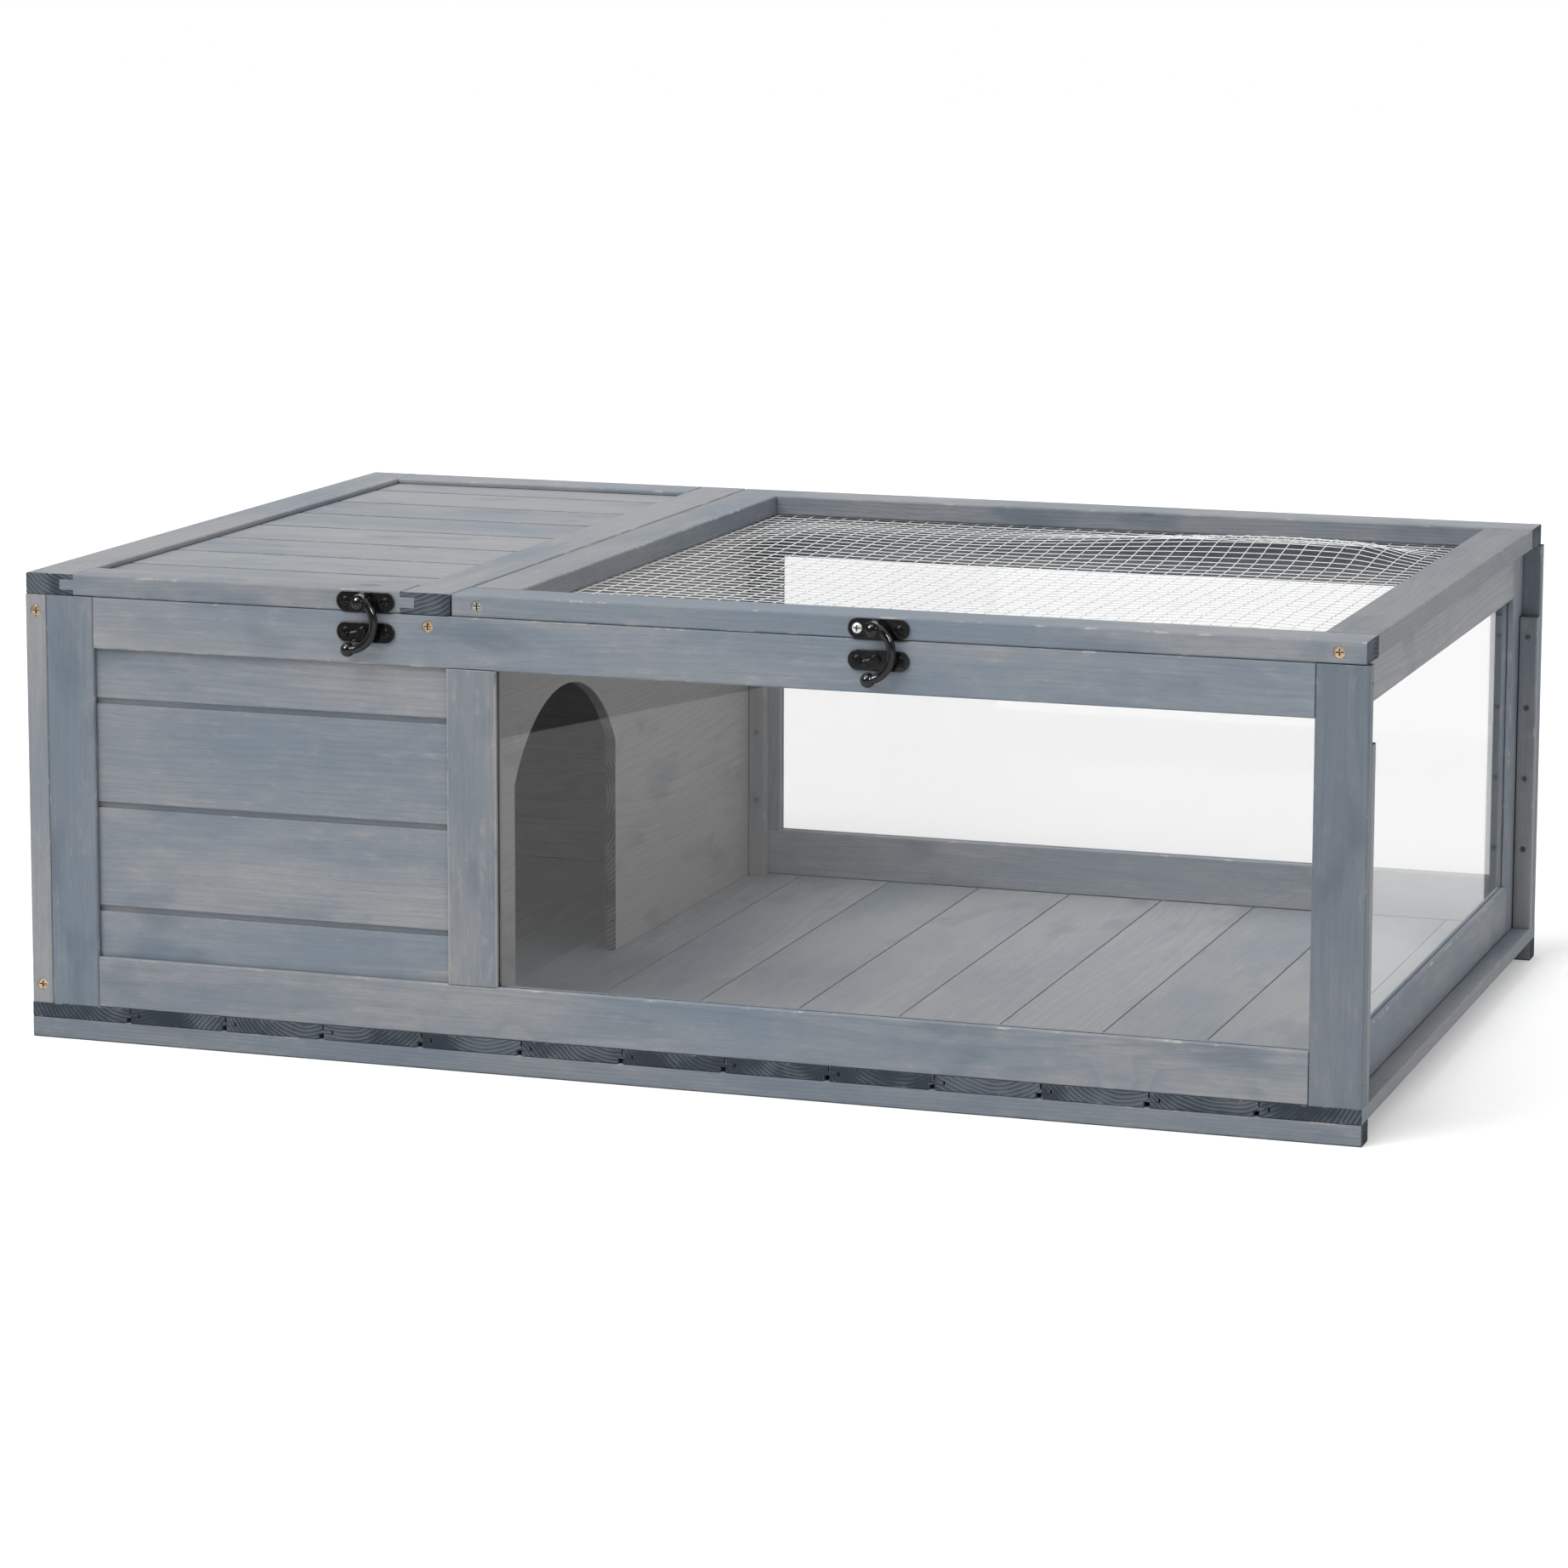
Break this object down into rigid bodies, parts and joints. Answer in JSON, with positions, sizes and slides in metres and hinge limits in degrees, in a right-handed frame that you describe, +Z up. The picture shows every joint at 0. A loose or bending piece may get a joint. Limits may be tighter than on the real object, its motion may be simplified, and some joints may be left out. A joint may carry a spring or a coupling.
{
  "type": "reptile terrarium",
  "caption": "Low wooden tortoise house with clear windows, a divider with an arched doorway, a boarded lid and a wire mesh lid that hinge open, held by swing-hook hasps.",
  "frame": {"origin": "middle of the footprint, on the ground (the bottom of the bounding box)", "axes": "+Z up; the front with the hasps faces -Y; +X is to the right seen from the front, towards the mesh lid"},
  "size_m": [0.9, 0.598, 0.3123],
  "materials": {
    "frame_wood": "grey-blue stained softwood, planed, matt",
    "board_wood": "grey-blue stained tongue-and-groove softwood, matt",
    "floor_wood": "grey stained tongue-and-groove softwood, matt",
    "clear_pane": "clear acrylic sheet",
    "brass_screws": "yellow passivated screws",
    "black_screws": "black enamelled screws",
    "zinc_hinges": "zinc plated steel",
    "galvanised_wire": "galvanised welded wire",
    "black_enamel": "gloss black enamel"
  },
  "bodies": {
    "enclosure": {"front_skid": "frame_wood", "rear_skid": "frame_wood", "floor_boards": "floor_wood", "front_left_post": "frame_wood", "front_middle_post": "frame_wood", "front_right_post": "frame_wood", "front_top_rail": "frame_wood", "front_bottom_rail": "frame_wood", "front_wall_boards": "board_wood", "front_window_pane": "clear_pane", "rear_left_post": "frame_wood", "rear_middle_post": "frame_wood", "rear_right_post": "frame_wood", "rear_top_rail": "frame_wood", "rear_bottom_rail": "frame_wood", "rear_wall_boards": "board_wood", "rear_window_pane": "clear_pane", "left_front_stile": "frame_wood", "left_rear_stile": "frame_wood", "left_top_rail": "frame_wood", "left_bottom_rail": "frame_wood", "left_wall_boards": "board_wood", "right_front_stile": "frame_wood", "right_rear_stile": "frame_wood", "right_top_rail": "frame_wood", "right_bottom_rail": "frame_wood", "side_window_pane": "clear_pane", "front_corner_batten": "frame_wood", "rear_corner_batten": "frame_wood", "divider": "frame_wood", "divider_battens": "frame_wood", "centre_beam": "frame_wood", "roof_catch_plate": "black_enamel", "mesh_catch_plate": "black_enamel", "roof_hinge_body_leaves": "zinc_hinges", "mesh_hinge_body_leaves": "zinc_hinges", "frame_screws": "brass_screws", "batten_screws": "brass_screws", "body_fitting_screws": "black_screws", "hinge_pins": "zinc_hinges"},
    "roof_lid": {"roof_left_stile": "frame_wood", "roof_right_stile": "frame_wood", "roof_front_rail": "frame_wood", "roof_rear_rail": "frame_wood", "roof_boards": "board_wood", "roof_hasp_plate": "black_enamel", "roof_hinge_lid_leaves": "zinc_hinges", "roof_fitting_screws": "black_screws"},
    "mesh_lid": {"mesh_left_stile": "frame_wood", "mesh_right_stile": "frame_wood", "mesh_front_rail": "frame_wood", "mesh_rear_rail": "frame_wood", "wire_mesh": "galvanised_wire", "mesh_hasp_plate": "black_enamel", "mesh_hinge_lid_leaves": "zinc_hinges", "mesh_frame_screws": "brass_screws", "mesh_fitting_screws": "black_screws"},
    "roof_hook": {"roof_hook": "black_enamel"},
    "mesh_hook": {"mesh_hook": "black_enamel"}
  },
  "joints": [
    {"name": "roof_lid_hinge", "type": "hinge", "parent": "enclosure", "child": "roof_lid", "pos_m": [-0.29895, 0.2962, 0.29815], "axis": [-1, 0, 0], "range_deg": [0, 175]},
    {"name": "mesh_lid_hinge", "type": "hinge", "parent": "enclosure", "child": "mesh_lid", "pos_m": [0.15025, 0.2962, 0.29815], "axis": [-1, 0, 0], "range_deg": [0, 175]},
    {"name": "roof_hook_swing", "type": "hinge", "parent": "roof_lid", "child": "roof_hook", "pos_m": [-0.2085, -0.2942, 0.3048], "axis": [0, -1, 0], "range_deg": [0, 90]},
    {"name": "mesh_hook_swing", "type": "hinge", "parent": "mesh_lid", "child": "mesh_hook", "pos_m": [0.1375, -0.2942, 0.3048], "axis": [0, -1, 0], "range_deg": [0, 90]}
  ]
}
